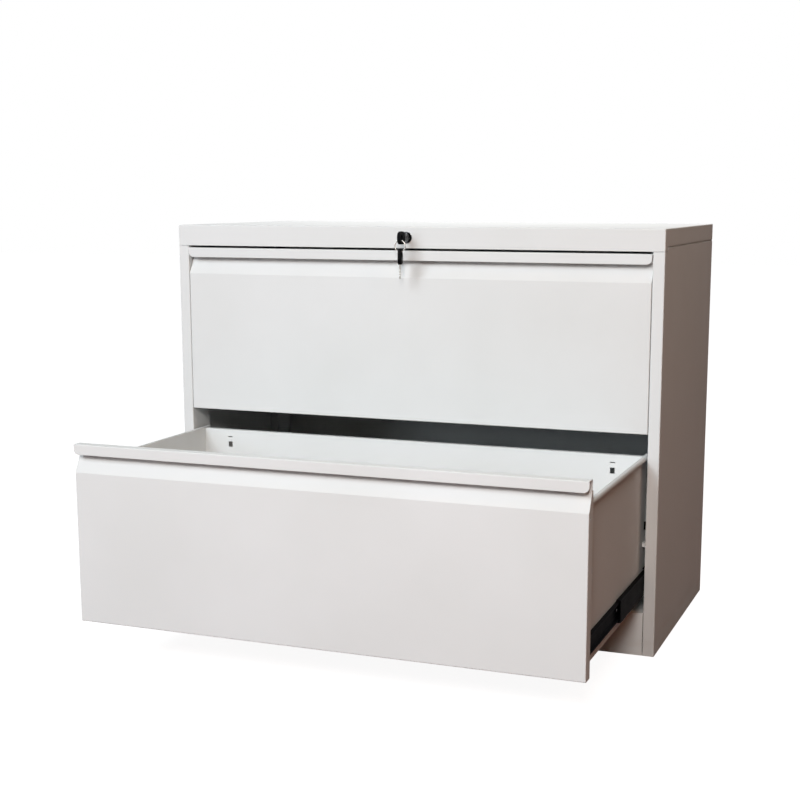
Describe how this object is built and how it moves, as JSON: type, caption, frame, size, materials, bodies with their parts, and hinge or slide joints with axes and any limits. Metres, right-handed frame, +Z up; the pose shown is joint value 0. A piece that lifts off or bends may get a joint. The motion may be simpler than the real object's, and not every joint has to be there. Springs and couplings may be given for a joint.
{
  "type": "lateral filing cabinet",
  "caption": "Wide steel filing cabinet with stacked pull-out drawers on telescopic slides, folded handle lips and a key lock in the top that bars the drawers.",
  "frame": {"origin": "on the floor, in the middle of the width, in the plane of the carcass front", "axes": "+X to the right seen from the front, +Y into the cabinet, +Z up"},
  "size_m": [0.9, 0.837, 0.72],
  "materials": {
    "carcass_paint": "light grey powder coat with a fine orange-peel surface",
    "drawer_paint": "light grey powder coat with a fine orange-peel surface",
    "slide_black": "black electrocoat, slightly greasy",
    "bright_steel": "bright plated steel",
    "zinc_steel": "zinc-plated steel",
    "lock_chrome": "chrome plate",
    "key_plastic": "moulded black plastic",
    "white_plastic": "moulded white plastic"
  },
  "bodies": {
    "cabinet": {"top_panel": "carcass_paint", "left_side_panel": "carcass_paint", "right_side_panel": "carcass_paint", "back_panel": "carcass_paint", "bottom_panel": "carcass_paint", "plinth": "carcass_paint", "front_left_upright": "carcass_paint", "front_right_upright": "carcass_paint", "rear_left_upright": "carcass_paint", "rear_right_upright": "carcass_paint", "upper_left_slide_outer": "slide_black", "upper_right_slide_outer": "slide_black", "lower_left_slide_outer": "slide_black", "lower_right_slide_outer": "slide_black", "lock_body": "lock_chrome", "lock_nut": "zinc_steel", "rod_guides": "white_plastic", "crank_stud": "zinc_steel", "bar_guides": "white_plastic"},
    "upper_drawer": {"upper_drawer_front": "drawer_paint", "upper_drawer_inner_front": "drawer_paint", "upper_drawer_left_side": "drawer_paint", "upper_drawer_right_side": "drawer_paint", "upper_drawer_back": "drawer_paint", "upper_drawer_bottom": "drawer_paint", "upper_drawer_lock_lug": "zinc_steel", "upper_drawer_fasteners": "zinc_steel", "upper_left_slide_inner": "slide_black", "upper_right_slide_inner": "slide_black"},
    "upper_middle_slides": {"upper_left_slide_middle": "slide_black", "upper_right_slide_middle": "slide_black"},
    "upper_outer_cages": {"upper_left_slide_outer_cage": "bright_steel", "upper_right_slide_outer_cage": "bright_steel"},
    "upper_inner_cages": {"upper_left_slide_inner_cage": "bright_steel", "upper_right_slide_inner_cage": "bright_steel"},
    "lower_drawer": {"lower_drawer_front": "drawer_paint", "lower_drawer_inner_front": "drawer_paint", "lower_drawer_left_side": "drawer_paint", "lower_drawer_right_side": "drawer_paint", "lower_drawer_back": "drawer_paint", "lower_drawer_bottom": "drawer_paint", "lower_drawer_lock_lug": "zinc_steel", "lower_drawer_fasteners": "zinc_steel", "lower_left_slide_inner": "slide_black", "lower_right_slide_inner": "slide_black"},
    "lower_middle_slides": {"lower_left_slide_middle": "slide_black", "lower_right_slide_middle": "slide_black"},
    "lower_outer_cages": {"lower_left_slide_outer_cage": "bright_steel", "lower_right_slide_outer_cage": "bright_steel"},
    "lower_inner_cages": {"lower_left_slide_inner_cage": "bright_steel", "lower_right_slide_inner_cage": "bright_steel"},
    "lock_plug": {"lock_plug": "lock_chrome", "lock_cam": "zinc_steel", "cam_screw": "zinc_steel", "key_head": "key_plastic", "key_blade": "bright_steel"},
    "lock_rod": {"lock_rod": "zinc_steel"},
    "bell_crank": {"bell_crank": "zinc_steel"},
    "lock_bar": {"lock_bar": "slide_black"}
  },
  "joints": [
    {"name": "upper_drawer_slide", "type": "slide", "parent": "cabinet", "child": "upper_drawer", "axis": [0, -1, 0], "range_m": [0, 0.4]},
    {"name": "upper_middle_slides_slide", "type": "slide", "parent": "cabinet", "child": "upper_middle_slides", "axis": [0, -1, 0], "range_m": [0, 0.2]},
    {"name": "upper_outer_cages_slide", "type": "slide", "parent": "cabinet", "child": "upper_outer_cages", "axis": [0, -1, 0], "range_m": [0, 0.1]},
    {"name": "upper_inner_cages_slide", "type": "slide", "parent": "cabinet", "child": "upper_inner_cages", "axis": [0, -1, 0], "range_m": [0, 0.3]},
    {"name": "lower_drawer_slide", "type": "slide", "parent": "cabinet", "child": "lower_drawer", "axis": [0, -1, 0], "range_m": [-0.385, 0.015]},
    {"name": "lower_middle_slides_slide", "type": "slide", "parent": "cabinet", "child": "lower_middle_slides", "axis": [0, -1, 0], "range_m": [-0.1925, 0.0075]},
    {"name": "lower_outer_cages_slide", "type": "slide", "parent": "cabinet", "child": "lower_outer_cages", "axis": [0, -1, 0], "range_m": [-0.09625, 0.00375]},
    {"name": "lower_inner_cages_slide", "type": "slide", "parent": "cabinet", "child": "lower_inner_cages", "axis": [0, -1, 0], "range_m": [-0.28875, 0.01125]},
    {"name": "lock_turn", "type": "hinge", "parent": "cabinet", "child": "lock_plug", "pos_m": [0, 0, 0.7015], "axis": [0, 1, 0], "range_deg": [0, 90]},
    {"name": "lock_rod_slide", "type": "slide", "parent": "cabinet", "child": "lock_rod", "axis": [1, 0, 0], "range_m": [-0.01838, 0]},
    {"name": "bell_crank_turn", "type": "hinge", "parent": "cabinet", "child": "bell_crank", "pos_m": [0.429, 0.0285, 0.67931], "axis": [0, 1, 0], "range_deg": [-90, 0]},
    {"name": "lock_bar_slide", "type": "slide", "parent": "cabinet", "child": "lock_bar", "axis": [0, 0, 1], "range_m": [0, 0.01838]}
  ],
  "couplings": [
    {"joint": "upper_middle_slides_slide", "follows": "upper_drawer_slide", "ratio": 0.5},
    {"joint": "upper_outer_cages_slide", "follows": "upper_drawer_slide", "ratio": 0.25},
    {"joint": "upper_inner_cages_slide", "follows": "upper_drawer_slide", "ratio": 0.75},
    {"joint": "lower_middle_slides_slide", "follows": "lower_drawer_slide", "ratio": 0.5},
    {"joint": "lower_outer_cages_slide", "follows": "lower_drawer_slide", "ratio": 0.25},
    {"joint": "lower_inner_cages_slide", "follows": "lower_drawer_slide", "ratio": 0.75},
    {"joint": "lock_turn", "follows": "lock_bar_slide", "rad_per_m": 85.44},
    {"joint": "bell_crank_turn", "follows": "lock_bar_slide", "rad_per_m": -85.44},
    {"joint": "lock_rod_slide", "follows": "lock_bar_slide", "ratio": -1}
  ]
}
